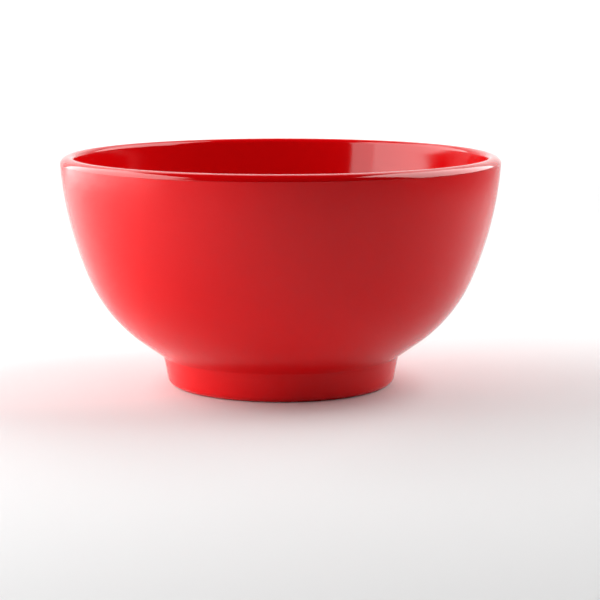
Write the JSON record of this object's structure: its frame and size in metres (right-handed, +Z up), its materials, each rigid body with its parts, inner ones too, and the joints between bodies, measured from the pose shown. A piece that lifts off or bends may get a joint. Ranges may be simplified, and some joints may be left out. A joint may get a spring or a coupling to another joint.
{
  "type": "rice bowl",
  "caption": "Deep round rice bowl on a foot ring, with a satin outer shell and a glossy inner liner that forms the bevelled lip.",
  "frame": {"origin": "centre of the foot ring's resting plane, on the bowl's axis", "axes": "+Z up along the bowl's axis, out of its mouth; X and Y are any two directions across the mouth, because the bowl is round"},
  "size_m": [0.115, 0.115, 0.0602],
  "materials": {
    "satin_shell": "satin moulded melamine, red",
    "gloss_liner": "polished moulded melamine, red"
  },
  "bodies": {
    "root": {"outer_shell": "satin_shell", "inner_liner": "gloss_liner"}
  },
  "joints": []
}
